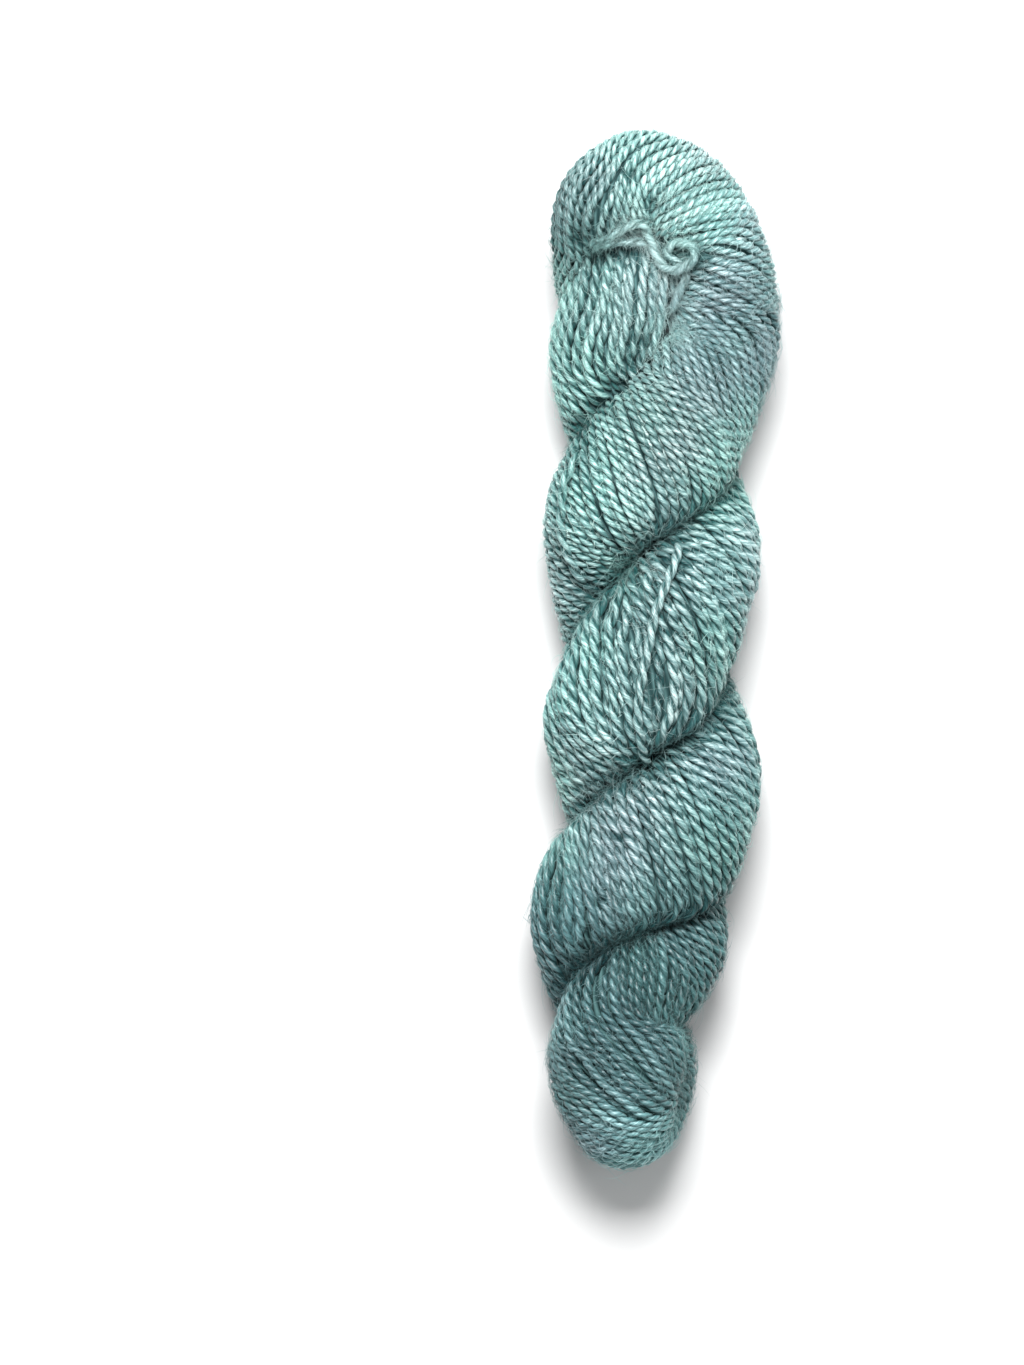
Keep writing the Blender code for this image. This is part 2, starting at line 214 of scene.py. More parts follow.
# Tints in patches: where the dye took unevenly, and painted light and shade, lighter over the head
# loop's top and the fold's lower end and darker down the head loop's left edge. Where in X and Y, how
# far each reaches, in millimetres, and its tint there.
DYE_AND_PAINTED_LIGHT_PATCHES = (
    (12, 124, 40, (1.32, 1.15, 1.18)),
    (-27, 114, 26, (0.40, 0.50, 0.51)),
    (28, 112, 22, (0.88, 1.02, 1.01)),
    (24, 82, 34, (0.67, 0.65, 0.72)),
    (2, 60, 24, (1.04, 0.89, 0.91)),
    (-14, 34, 20, (1.12, 1.20, 1.15)),
    (-20, 38, 18, (1.30, 1.28, 1.26)),
    (-8, 90, 14, (0.86, 0.89, 0.89)),
    (24, 18, 22, (0.97, 1.00, 1.02)),
    (-25, -8, 26, (0.90, 1.06, 1.03)),
    (-8, -25, 14, (1.20, 1.20, 1.20)),
    (-28, -70, 26, (0.36, 0.54, 0.56)),
    (20, -34, 24, (0.80, 0.80, 0.85)),
    (-6, -54, 26, (0.78, 0.74, 0.79)),
    (10, -80, 34, (0.43, 0.54, 0.56)),
    (-12, -91, 22, (0.56, 0.66, 0.68)),
    (-6, -112, 34, (0.56, 0.68, 0.68)),
    (-6, -135, 22, (1.80, 1.64, 1.66)),
    (10, -116, 14, (0.76, 0.72, 0.74)),
    (-26, -115, 18, (0.60, 0.64, 0.65)),
)
PATCH_CORE = 0.2  # the share of its reach within which a patch has its full colour

# Loose hairs: their straight parts, how short and long, how high they rise, how thick at the root.
HAIR_COLUMNS = ("steps", "shortest", "longest", "highest", "thickest")
FUZZ = dict(steps=2, shortest=1.5 * MM, longest=5.0 * MM, highest=0.9 * MM, thickest=0.08 * MM)
STRAYS = dict(steps=4, shortest=4.0 * MM, longest=11.0 * MM, highest=2.2 * MM, thickest=0.07 * MM)
FUZZ_HAIRS = 12800
STRAY_HAIRS = 1300
CREASE_HAIRS = 3000  # more of the short ones where the halves of the rope meet
CREASE_REACH = 6.8 * MM
CREASE_EDGE = 0.5  # the shade past which a place counts as in the crease
DOWN_HAIRS = 7000  # and where the wool is rubbed downy
# Those downy places: where in X and Y and how far they reach, in millimetres.
DOWN_PATCHES = (
    (-8, -122, 30),
    (22, 112, 24),
    (-2, -92, 16),
    (30, 70, 18),
    (-18, -66, 16),
    (1, 91, 14),
)
GAP_HAIRS = 220  # and where the head loop's inner side comes away from the tucked end
GAP = (3.6 * MM, 87.5 * MM, 4.5 * MM)
DOWN_EDGE = 0.4  # likewise how downy a place is that gets those hairs
DOWN_EASE = 0.6  # how much the down evens out the light between plies
HAIR_SWING = 0.9  # how far a hair's way strays from the yarn's, in radians
HAIR_RISE = (0.1, 1)
HAIR_BEND = 0.35
HAIR_FALL = (0.55, 1.0)  # how much of a half wave a hair rises and falls in
HAIR_THICKNESS = (0.5, 1)
HAIR_TAPER = 0.85
HAIR_SHADE = 1.3
HAIR_CLEARANCE = 0.2 * MM  # over the floor
TIE_FUZZ = 1000
TIE_STRAYS = 60
TIE_STANDING = 0.9 * MM  # where its hairs leave it, from its middle
TIE_LIFT = 0.5 * MM  # the middle of a tie strand over the skein's surface
PRESS_DEPTH = 1.2 * MM  # how far the tie and the slack yarn press the yarns under them in
PRESS_REACH = 2.4 * MM
# how strongly the creases, the hollows and the places under the tie and slack yarns are painted in shade
CREASE_SHADE, HOLLOW_SHADE, UNDER_SHADE = 0.9, 0.9, 0.35

# Places where the yarns lie deeper and are painted in shade: where in X and Y, how far around, in
# millimetres.
HOLLOWS = (
    (7.4, 22.8, 2.6),
    (0.2, -7.6, 2.6),
    (-0.8, -12.5, 2.0),
    (-1.2, 119.3, 2.6),
    (-7.2, 126.4, 2.2),
    (-4.6, 82.8, 3.0),
    (-6.8, 76.8, 2.6),
    (-10.2, 71.3, 2.8),
    (-14.8, 65.6, 2.8),
    (-19.6, 60.2, 2.8),
    (-14.8, 105.8, 2.4),
    (-10.6, 105.6, 2.4),
    (-6.5, 105.4, 2.6),
    (5.8, 105.2, 2.4),
    (12.6, 104.4, 3.0),
    (-20.0, 110.4, 2.4),
    (3.6, 5.1, 1.8),
    (-14.5, -66.5, 2.4),
    (-9.0, -50.0, 2.0),
)
HOLLOW_DEPTH = 1.5 * MM

# Strands that lie over the skein: X, Y and a lift over its surface, in millimetres.
STRAND_BRIDGE = 15  # how many points of a strand's route its heights are eased over
STRAND_SAMPLES = 400
STRAND_STRAY, STRAND_WAVE = 0.22 * MM, 4 * MM
SLACK_SHADED = 0.1  # how much of the crease's shade the slack yarns take
UNDER_SAMPLES = 80
TIE_LANE = YARNS + 5  # numbers the tie's strands apart from the yarns
TIE_ROWS = (
    (-17.3, 106.7, 0.0),
    (-14.6, 108.6, 0.0),
    (-10.9, 110.7, 0.0),
    (-7.1, 112.9, 0.0),
    (-3.8, 113.4, 0.0),
    (-2.0, 110.6, 0.0),
    (-0.4, 106.5, 0.0),
    (1.7, 103.0, 0.3),
    (4.4, 101.3, 1.6),
    (7.7, 101.8, 2.8),
    (10.3, 104.3, 1.6),
    (9.9, 107.0, 0.0),
    (7.1, 108.4, 0.0),
    (4.2, 107.9, 0.0),
    (3.0, 106.0, 0.0),
    (4.9, 104.2, 0.0),
    (7.5, 102.1, 0.0),
    (8.2, 99.4, 0.0),
    (6.6, 96.2, 0.0),
    (5.3, 92.7, 0.0),
    (4.4, 90.8, -0.3),
)
TIE_END_ROWS = (
    (-17.4, 107.6, 0.0),
    (-15.8, 108.9, 0.3),
    (-13.0, 108.2, 0.3),
    (-10.1, 109.1, 0.2),
    (-7.2, 108.6, 0.2),
    (-4.8, 109.1, 0.2),
    (-2.6, 108.3, 0.0),
)
# Slack yarns that lie across the others, in the same columns.
SLACK_ROWS = (
    (6.6, 28.6, -4.0),
    (5.4, 24.7, -0.6),
    (2.8, 17.5, 0.8),
    (0.1, 10.5, 1.0),
    (-1.7, 1.3, 1.1),
    (-3.4, -6.4, 1.1),
    (-5.0, -14.8, 1.0),
    (-4.4, -21.7, 0.6),
    (-3.0, -27.6, -0.9),
    (-2.0, -30.5, -4.0),
)
EDGE_SLACK_ROWS = (
    (-19.0, 54.0, -4.0),
    (-21.5, 51.0, -1.2),
    (-24.0, 45.5, 0.1),
    (-25.0, 38.0, 0.3),
    (-25.0, 31.0, 0.3),
    (-23.5, 25.5, 0.0),
    (-21.0, 21.0, -1.2),
    (-18.5, 17.5, -4.0),
)
SLACKS = (SLACK_ROWS, EDGE_SLACK_ROWS)
LAID_ROWS = (TIE_ROWS, TIE_END_ROWS) + SLACKS

FLOOR_SIZE = 3.0
FLOOR_COLOUR = (0.74, 0.74, 0.74, 1)
SKY_COLOUR = (0.97, 0.99, 1.0, 1)
SKY_STRENGTH = 0.28
LIGHT_TARGET = (0, 0, 0.02)
# Each light's name, place, size and power.
LIGHTS = (
    ("key", (-0.03, 0.38, 0.75), 0.34, 13.0),
    ("fill", (0.3, -0.2, 1.0), 0.8, 2.5),
)

Bundle = namedtuple("Bundle", "at middle out side half_out half_side twist")


def smooth_rows(rows, at):
    """Catmull-Rom values of a table's columns at fractional row numbers."""
    rows = np.asarray(rows, float)
    last = len(rows) - 1
    at = np.clip(at, 0, last)
    i = np.minimum(at.astype(int), last - 1)
    t = (at - i)[:, None]
    before, after = rows[np.maximum(i - 1, 0)], rows[np.minimum(i + 2, last)]
    start, end = rows[i], rows[i + 1]
    return 0.5 * (
        2 * start
        + (end - before) * t
        + (2 * before - 5 * start + 4 * end - after) * t**2
        + (3 * start - before - 3 * end + after) * t**3
    )


ROPE_FINE = smooth_rows(ROPE_ROWS[::-1], np.linspace(0, len(ROPE_ROWS) - 1, ROPE_SAMPLES))
ROPE = dict(zip(ROPE_COLUMNS, ROPE_FINE.T))


def rope_at(along):
    """The rope's middle in x, reach, turn in radians and lean at places along Y, in metres."""
    axis_x, reach, turn, lean = (
        np.interp(np.asarray(along) / MM, ROPE["along"], ROPE[name]) for name in ROPE_COLUMNS[1:]
    )
    return axis_x * MM, reach * MM, np.radians(turn), lean


def in_rope(along):
    """How far a place along Y is in the rope, from 0 to 1, past which its turns are loose."""
    low = np.clip((along - ROPE_SPAN[0]) / ROPE_EASE, 0, 1)
    high = np.clip((ROPE_SPAN[1] - along) / ROPE_EASE, 0, 1)
    return low * high


def lean_over(points):
    """Slides the rope's right side down and its left side up, as the laid skein has slipped."""
    axis_x, _, _, lean = rope_at(points[..., 1])
    points[..., 1] -= lean * (points[..., 0] - axis_x) * in_rope(points[..., 1])
    return points


def slip_down(points, along_share):
    """Slides the head loop's inner side down, which bows its yarns."""
    x, y, reach_x, reach_y, depth = SLIP
    near = ((points[..., 0] - x) / reach_x) ** 2 + ((points[..., 1] - y) / reach_y) ** 2
    slipped = (along_share < SLIP_SHARE) & (points[..., 2] > AXIS_HEIGHT)
    points[..., 1] -= depth * np.exp(-near) * slipped
    return points


def rope_station(turn, half):
    """A station of half 0 or 1 of the bundle, where that half has turned that many degrees."""
    along = np.interp(180 * half - turn, -ROPE["turn"], ROPE["along"]) * MM
    axis_x, reach, angle, _ = rope_at(along)
    angle += math.pi * half
    out = np.array([math.cos(angle), 0.0, math.sin(angle)])
    centre = np.array([axis_x, along, AXIS_HEIGHT])
    centre += out * (CENTRE_SHARE * reach) * (1, 1, ROPE_FLATNESS)
    half_out = OUTWARD_SHARE * reach * (1 - (1 - ROPE_FLATNESS) * out[2] ** 2)
    half_side = SIDEWAYS_SHARE * reach * (1 - (1 - ROPE_FLATNESS) * out[0] ** 2)
    twist_rows = SECOND_TWIST_ROWS if half else FIRST_TWIST_ROWS
    twist = np.interp(turn, *zip(*twist_rows))
    return (*centre, *out, half_out, half_side, twist / MM)


def table_stations(rows):
    units = {"twist": 1 / MM, "out_x": 1, "out_y": 1, "out_z": 1}
    scale = [units.get(name, MM) for name in STATION_COLUMNS]
    return [tuple(np.array(row) * scale) for row in rows]


def bundle_stations():
    """Every station from the head loop's hidden leg, down the rope, round the fold and up again."""
    first_turns = np.arange(FIRST_HALF_TURNS[0], FIRST_HALF_TURNS[1] + 1, TURN_STEP)
    second_turns = np.arange(SECOND_HALF_TURNS[0], SECOND_HALF_TURNS[1] - 1, -TURN_STEP)
    return (
        table_stations(HEAD_LOOP_ROWS)
        + [rope_station(turn, 0) for turn in first_turns]
        + table_stations(FOLD_ROWS)
        + [rope_station(turn, 1) for turn in second_turns]
        + table_stations(TUCKED_END_ROWS)
    )


def unit(vectors):
    return vectors / np.maximum(np.linalg.norm(vectors, axis=-1, keepdims=True), 1e-12)


def bundle_frames(gap):
    """The bundle's middle line at even steps, with its directions, half sizes and twist."""
    stations = np.array(bundle_stations())
    samples = STATION_SAMPLES * len(stations)
    fine = smooth_rows(stations, np.linspace(0, len(stations) - 1, samples))
    steps = np.linalg.norm(np.diff(fine[:, :3], axis=0), axis=1)
    length = np.concatenate([[0], np.cumsum(steps)])
    at = np.linspace(0, length[-1], round(length[-1] / gap) + 1)
    even = np.stack([np.interp(at, length, column) for column in fine.T], axis=1)
    middle = even[:, :3]
    forward = unit(np.gradient(middle, axis=0))
    out = even[:, 3:6] - forward * (even[:, 3:6] * forward).sum(1, keepdims=True)
    out = unit(out)
    return Bundle(at, middle, out, np.cross(forward, out), *even[:, 6:].T)


def soft_floor(value, floor, softness):
    """value where it is well over floor, and floor where it is well under it."""
    over = (value - floor) / softness
    eased = floor + softness * np.log1p(np.exp(np.clip(over, -SOFT_LIMIT, SOFT_LIMIT)))
    return np.where(over > SOFT_LIMIT, value, eased)


def press_together(points, along_share, floor):
    """Holds each half of the rope to its own side of the face where the halves meet."""
    axis_x, _, turn, _ = rope_at(points[..., 1])
    out = np.stack([np.cos(turn), np.zeros_like(turn), np.sin(turn)], axis=-1)
    axis = np.stack([axis_x, points[..., 1], np.full_like(axis_x, AXIS_HEIGHT)], axis=-1)
    first = np.where(along_share < 0.5, 1.0, -1.0)
    depth = ((points - axis) * out).sum(-1) * first
    pressed = soft_floor(depth, floor, PRESS_SOFTNESS)
    share = in_rope(points[..., 1]) * (pressed - depth) * first
    return points + out * share[..., None]


def crease_shade(points):
    """How near each point lies to where the halves of the rope meet, from 0 to 1 in the crease."""
    axis_x, _, _, lean = rope_at(points[..., 1])
    along = points[..., 1] + lean * (points[..., 0] - axis_x) * in_rope(points[..., 1])
    axis_x, _, turn, _ = rope_at(along)
    height = points[..., 2] - AXIS_HEIGHT
    apart = abs((points[..., 0] - axis_x) * np.cos(turn) + height * np.sin(turn))
    return np.exp(-((apart / CREASE_REACH) ** 2)) * in_rope(along)


def in_crease(points):
    return (crease_shade(points) > CREASE_EDGE) & (points[..., 2] > AXIS_HEIGHT)


def hollow_share(points):
    """How deep in one of the hollows of the upper side each point lies, from 0 to 1."""
    share = np.zeros(points.shape[:-1])
    for x, y, reach in HOLLOWS:
        away = np.hypot(points[..., 0] - x * MM, points[..., 1] - y * MM)
        share = np.maximum(share, np.exp(-((away / (reach * MM)) ** 2)))
    return share * (points[..., 2] > AXIS_HEIGHT)


def down_share(points):
    """How downy the wool is at each point, from 0 to 1."""
    share = np.zeros(points.shape[:-1])
    for x, y, reach in DOWN_PATCHES:
        away = np.hypot(points[..., 0] - x * MM, points[..., 1] - y * MM)
        share = np.maximum(share, np.exp(-((away / (reach * MM)) ** 2)))
    return share


def in_down(points):
    return (down_share(points) > DOWN_EDGE) & (points[..., 2] > AXIS_HEIGHT / 2)


def in_gap(points):
    x, y, reach = GAP
    return (np.hypot(points[..., 0] - x, points[..., 1] - y) < reach) & (points[..., 2] > AXIS_HEIGHT)


def under_share(points):
    """How nearly under the tie or the slack yarn each point of the upper side lies, from 0 to 1."""
    routes = [smooth_rows(rows, np.linspace(0, len(rows) - 1, UNDER_SAMPLES)) for rows in LAID_ROWS]
    line = np.concatenate(routes)[:, :2] * MM
    share = np.zeros(points.shape[:-1])
    low, high = line.min(0) - 3 * PRESS_REACH, line.max(0) + 3 * PRESS_REACH
    near = ((points[..., :2] > low) & (points[..., :2] < high)).all(-1)
    near &= points[..., 2] > AXIS_HEIGHT
    away = np.linalg.norm(points[near][:, None, :2] - line, axis=-1).min(1)
    share[near] = np.exp(-((away / PRESS_REACH) ** 2))
    return share


def shade_at(points):
    """How little light gets to each point of the wool, from 0 to 1."""
    shade = CREASE_SHADE * crease_shade(points) + HOLLOW_SHADE * hollow_share(points)
    return np.clip(shade + UNDER_SHADE * under_share(points), 0, 1)


def slow_noise(rng, lanes, at, gap, spread=0):
    """A smooth random number for each lane at each place, unlike after gap metres, about -1 to 1."""
    knots = int(at[-1] / gap) + 3
    values = rng.uniform(-1, 1, (knots, lanes))
    for _ in range(spread):
        values = (np.roll(values, 1, 1) + 2 * values + np.roll(values, -1, 1)) / 4
    values *= NOISE_DEVIATION / values.std()
    return smooth_rows(values, at / gap).T


def ease_along(points, rounds):
    """Evens out sharp bends along the second axis, as a yarn's stiffness does."""
    for _ in range(rounds):
        points[:, 1:-1] = (points[:, :-2] + 2 * points[:, 1:-1] + points[:, 2:]) / 4
    return points


def wound(depth, angles, bundle, rest_gap, rest_height):
    """Points on the bundle at those angles and depths under its surface, pressed and leaning."""
    at, middle, out, side, half_out, half_side, _ = bundle
    across = np.cos(angles) * (half_out - depth)
    along_side = np.sin(angles) * (half_side - depth)
    points = middle + out * across[..., None] + side * along_side[..., None]
    share = np.broadcast_to(at / at[-1], points.shape[:2])
    points = press_together(points, share, rest_gap)
    points = slip_down(lean_over(points), share)
    points[..., 2] = soft_floor(points[..., 2], rest_height, FLOOR_SOFTNESS)
    return points


def turned_by(bundle):
    """How far the yarns have turned round the bundle at each place, in radians."""
    steps = np.radians(bundle.twist[1:] + bundle.twist[:-1]) / 2 * np.diff(bundle.at)
    return np.concatenate([[0], np.cumsum(steps)])


def tightness(bundle):
    """How tight the yarns are pulled along the bundle, from 0 to 1."""
    along = bundle.middle[:, 1] / MM
    first, second = (np.interp(along, *zip(*rows)) for rows in (FIRST_TIGHT_ROWS, SECOND_TIGHT_ROWS))
    return np.where(bundle.at < bundle.at[-1] / 2, first, second)


def outer_layer(even, tight):
    """Each yarn's share of a full place in the outer layer, from 0 to 1, and its room across."""
    room = room_across(even)
    gap = YARN_GAP + (TIGHT_GAP - YARN_GAP) * tight
    around = np.mean([np.roll(room, k, 0) for k in range(-NEIGHBOURS, NEIGHBOURS + 1)], axis=0)
    share = ease_along(np.clip(around / gap, LEAST_SHARE, 1), LAYER_EASE)
    rank = (np.arange(YARNS) * RANK_STEP % 1)[:, None]
    placed = np.clip((share - rank) / RANK_EASE + 0.5, 0, 1)
    placed = placed**2 * (3 - 2 * placed)
    kept = rank < share + UNDER_LAYER
    return placed, kept, np.minimum(room / share, WIDEST_GAP * gap)


def closed_ends(bundle, inset):
    """The bundle drawn in by inset and rounded off to its middle line at both ends, and by how much."""
    near = np.clip(np.minimum(bundle.at, bundle.at[-1] - bundle.at) / END_LENGTH, LEAST_END, 1)
    share = np.sqrt(1 - (1 - near) ** 2)
    half_out, half_side = (bundle.half_out - inset) * share, (bundle.half_side - inset) * share
    return bundle._replace(half_out=half_out, half_side=half_side), share


def yarn_paths(rng, bundle, tight):
    """Each yarn's middle line, where it is near the surface, and its room across."""
    at = bundle.at
    turned = turned_by(bundle)
    lane = np.arange(YARNS)[:, None]
    inset, _ = closed_ends(bundle, YARN_RADIUS)
    even = wound(0, turned + 2 * math.pi * lane / YARNS, inset, YARN_RADIUS, REST_HEIGHT)
    placed, kept, room = outer_layer(even, tight)
    width = placed + SUNK_WIDTH
    total = width.sum(0)
    stray = NEAR_STRAY * slow_noise(rng, YARNS, at, NEAR_WAVE)
    stray += FAR_STRAY * slow_noise(rng, YARNS, at, FAR_WAVE, FAR_SPREAD)
    place = np.cumsum(width, 0) - width / 2 + stray * total / YARNS
    angles = turned + 2 * math.pi * place / total
    uneven = UNEVEN_DEPTH * slow_noise(rng, YARNS, at, UNEVEN_WAVE)
    depth = (1 - placed) * LAYER_DEPTH + uneven
    points = ease_along(wound(depth, angles, inset, PRESSED_RADIUS, REST_HEIGHT), PATH_EASE)
    points[..., 2] -= HOLLOW_DEPTH * hollow_share(points) + PRESS_DEPTH * under_share(points)
    return points, kept, ease_along(room, ROOM_EASE)


def room_across(points):
    """How far apart each yarn and its two neighbours lie, across the yarn."""
    forward = unit(np.gradient(points, axis=1))
    between = (np.roll(points, -1, 0) - np.roll(points, 1, 0)) / 2
    return np.linalg.norm(np.cross(between, forward), axis=-1)


def surface_tree():
    return BVHTree.FromObject(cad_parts["skein_body"], bpy.context.evaluated_depsgraph_get())


def depth_under(tree, points):
    """How far under the skein's own surface each point lies; negative outside."""
    depths = np.empty(len(points))
    for i, point in enumerate(points):
        near, normal, _, distance = tree.find_nearest(Vector(point))
        depths[i] = distance if (Vector(point) - near).dot(normal) < 0 else -distance
    return depths


def shown_runs(tree, path, kept, step):
    """The stretches of a yarn that aren't buried, as index pairs."""
    depths = depth_under(tree, path[::DEPTH_EVERY])
    shown = np.repeat(depths < BURIED, DEPTH_EVERY)[: len(path)] & kept
    edges = np.flatnonzero(np.diff(np.concatenate([[0], shown.astype(int), [0]])))
    return [(a, b) for a, b in zip(edges[::2], edges[1::2]) if (b - a) * step > LEAST_RUN]


class TubeMesh:
    """Gathers closed tubes, and makes one mesh of them with their wool coordinates."""

    def __init__(self):
        self.points, self.quads, self.caps = [], [], []
        self.wool, self.tone, self.painted_light = [], [], []
        self.count = 0

    def add(self, rings, wool, tone, painted_light=1.0):
        """rings is tubes x steps x sides x 3; wool places each point among its ply's fibres.

        tone sets one tube's colour off from the next, from -1 to 1, and the last argument is painted
        light
        and shade: 1 on top of a yarn, falling to 0 and less down where little light gets.
        """
        tubes, steps, sides = rings.shape[:3]
        index = self.count + np.arange(tubes * steps * sides).reshape(tubes, steps, sides)
        after = np.roll(index, -1, 2)
        quads = np.stack([index[:, :-1], after[:, :-1], after[:, 1:], index[:, 1:]], axis=-1)
        self.points.append(rings.reshape(-1, 3))
        self.quads.append(quads.reshape(-1, 4))
        self.caps += [index[:, 0, ::-1], index[:, -1]]
        self.wool.append(np.broadcast_to(wool, rings.shape).reshape(-1, 3))
        self.tone.append(np.broadcast_to(tone, (tubes, steps, sides)).reshape(-1))
        self.painted_light.append(np.broadcast_to(painted_light, (tubes, steps, sides)).reshape(-1))
        self.count += tubes * steps * sides

    def make(self, name):
        quads = np.concatenate(self.quads)
        loops = np.concatenate([quads.reshape(-1)] + [cap.reshape(-1) for cap in self.caps])
        cap_sizes = [np.full(len(cap), cap.shape[1]) for cap in self.caps]
        sizes = np.concatenate([np.full(len(quads), 4)] + cap_sizes).astype(int)
        mesh = bpy.data.meshes.new(name)
        mesh.vertices.add(self.count)
        mesh.vertices.foreach_set("co", np.concatenate(self.points).astype(np.float32).reshape(-1))
        mesh.loops.add(len(loops))
        mesh.loops.foreach_set("vertex_index", loops.astype(np.int32))
        mesh.polygons.add(len(sizes))
        mesh.polygons.foreach_set("loop_start", (np.cumsum(sizes) - sizes).astype(np.int32))
        mesh.polygons.foreach_set("loop_total", sizes.astype(np.int32))
        mesh.update(calc_edges=True)
        mesh.validate()
        mesh.shade_smooth()
        wool = mesh.attributes.new("wool", "FLOAT_VECTOR", "POINT")
        wool.data.foreach_set("vector", np.concatenate(self.wool).astype(np.float32).reshape(-1))
        for kind, values in (("tone", self.tone), ("painted_light", self.painted_light)):
            data = mesh.attributes.new(kind, "FLOAT", "POINT").data
            data.foreach_set("value", np.concatenate(values).astype(np.float32))
        piece = bpy.data.objects.new(name, mesh)
        bpy.context.scene.collection.objects.link(piece)
        return piece


def resampled(path, others, gap):
    """Places at even steps of a path's own length, and the path and its companion columns there."""
    steps = np.linalg.norm(np.diff(path, axis=0), axis=1)
    length = np.concatenate([[0], np.cumsum(steps)])
    at = np.linspace(0, length[-1], max(int(length[-1] / gap), 4) + 1)

    def even(columns):
        return np.stack([np.interp(at, length, column) for column in columns.T], axis=1)

    return at, even(path), [even(other) for other in others]


def ply_tubes(rng, target, path, outward, room, tight, lane, shaded, size):
    """Two plies that wind round each other along a path."""
    radius, offset, turn = size
    at, middle, (outward, room, tight) = resampled(path, [outward, room, tight], turn / STEPS_A_TURN)
    forward = unit(np.gradient(middle, axis=0))
    up = unit(outward - forward * (outward * forward).sum(1, keepdims=True))
    across = np.cross(forward, up)
    narrow = np.clip(room / YARN_WIDTH, *NARROWING)
    tall = narrow**TALL_POWER
    turns = turn + (TIGHT_TURN - PLY_TURN) * tight[:, 0]
    wound_up = np.concatenate([[0], np.cumsum(np.diff(at) / turns[1:])])
    sway, sway_turns = TWIST_SWAY
    wound_up += sway * np.sin(at / (sway_turns * turn) + lane)
    phase = rng.uniform(0, 2 * math.pi) - 2 * math.pi * wound_up
    swell = 1.0
    for amount, gap in PLY_SWELLS:
        swell = swell + amount * slow_noise(rng, 1, at, gap)[0]
    angle = np.linspace(0, 2 * math.pi, PLY_SIDES, endpoint=False)
    # painted shade from the creases, the hollows and the tie and slack yarns lying over the yarn
    painted_shade = shaded * shade_at(middle)[:, None]
    ease = 1 - DOWN_EASE * down_share(middle)[:, None]
    tone = rng.uniform(-1, 1)
    # the plies are drawn in at both ends
    taper = np.sqrt(np.clip(np.minimum(at, at[-1] - at) / PLY_TAPER, LEAST_TAPER, 1))[:, None, None]
    for ply in range(2):
        a = (phase + math.pi * ply)[:, None]
        lean = up * np.cos(a) * tall + across * np.sin(a) * narrow
        centre = middle + lean * offset
        ahead = unit(np.gradient(centre, axis=0))
        outer = unit(lean - ahead * (lean * ahead).sum(1, keepdims=True))
        beside = np.cross(ahead, outer)
        thick = radius * (swell * narrow[:, 0] ** THICK_POWER)[:, None, None]
        thick = thick * rng.uniform(*PLY_ROUGHNESS, (len(at), PLY_SIDES, 1)) * taper
        rings = (
            centre[:, None]
            + outer[:, None] * (np.cos(angle)[None, :, None] * thick * PLY_FLATNESS[0])
            + beside[:, None] * (np.sin(angle)[None, :, None] * thick * PLY_FLATNESS[1])
        )
        length = np.broadcast_to(at[:, None] / radius, rings.shape[:2])
        fibre = angle + FIBRE_SLANT * length
        wool = np.stack([np.cos(fibre), np.sin(fibre), length + PLY_APART * (2 * lane + ply)], axis=-1)
        # painted shade: each ply darker down its sides and towards the bundle, less so where the wool is
        # downy
        rise = ((rings - middle[:, None]) * up[:, None]).sum(-1) / (offset + radius)
        depth = 1 - 0.5 * rise - 0.5 * np.cos(angle)
        target.add(rings[None], wool[None], tone, 1 - depth * ease - painted_shade)


def build_yarns(rng, tree, bundle):
    """The plies of every yarn, in a few pieces, and the yarns' paths for the hairs."""
    tight = tightness(bundle)
    paths, kept, room = yarn_paths(rng, bundle, tight)
    outward = paths - bundle.middle
    meshes = [TubeMesh() for _ in range(PIECES)]
    roots = []
    for lane in range(YARNS):
        path = paths[lane]
        step = np.linalg.norm(np.diff(path, axis=0), axis=1).mean()
        for a, b in shown_runs(tree, path, kept[lane], step):
            target = meshes[lane * PIECES // YARNS]
            across = room[lane, a:b, None], tight[a:b, None]
            ply_tubes(rng, target, path[a:b], outward[lane, a:b], *across, lane, 1, YARN_PLIES)
            roots.append((path[a:b], unit(outward[lane, a:b])))
    for number, rows in enumerate(SLACKS):
        lane = YARNS + number
        lay_strand(rng, meshes[number], roots, tree, rows, lane, 0.0, SLACK_SHADED, YARN_PLIES)
    return meshes, roots


def build_core():
    """The closed body of inner yarns that shows between the outer ones, ridged as they are."""
    bundle = bundle_frames(CORE_GAP)
    lane = np.arange(CORE_RIDGES * SIDES_A_RIDGE)[:, None] / SIDES_A_RIDGE
    angles = turned_by(bundle) + 2 * math.pi * lane / CORE_RIDGES
    inset, share = closed_ends(bundle, CORE_DEPTH)
    groove = CORE_RIDGE * (0.5 - 0.5 * np.cos(2 * math.pi * lane)) * share
    rings = wound(groove, angles, inset, CORE_PRESSED_GAP, CORE_REST_HEIGHT).transpose(1, 0, 2)
    plies = 2 * bundle.at[:, None] / PLY_TURN + CORE_SLANT * lane.T
    wool = np.stack(np.broadcast_arrays(plies, lane.T, 0.0), axis=-1)
    core = TubeMesh()
    core.add(rings[None], wool[None], 0.0)
    return core.make("inner_yarns")


def hair_roots(rng, roots, count, only=None):
    """Random places on the yarns: points, the ways outward and the ways along."""
    points = np.concatenate([path[1:-1] for path, _ in roots])
    outward = np.concatenate([out[1:-1] for _, out in roots])
    ahead = np.concatenate([unit(path[2:] - path[:-2]) for path, _ in roots])
    free = np.flatnonzero(only(points)) if only else np.arange(len(points))
    picks = rng.choice(free, count)
    return points[picks], outward[picks], ahead[picks]


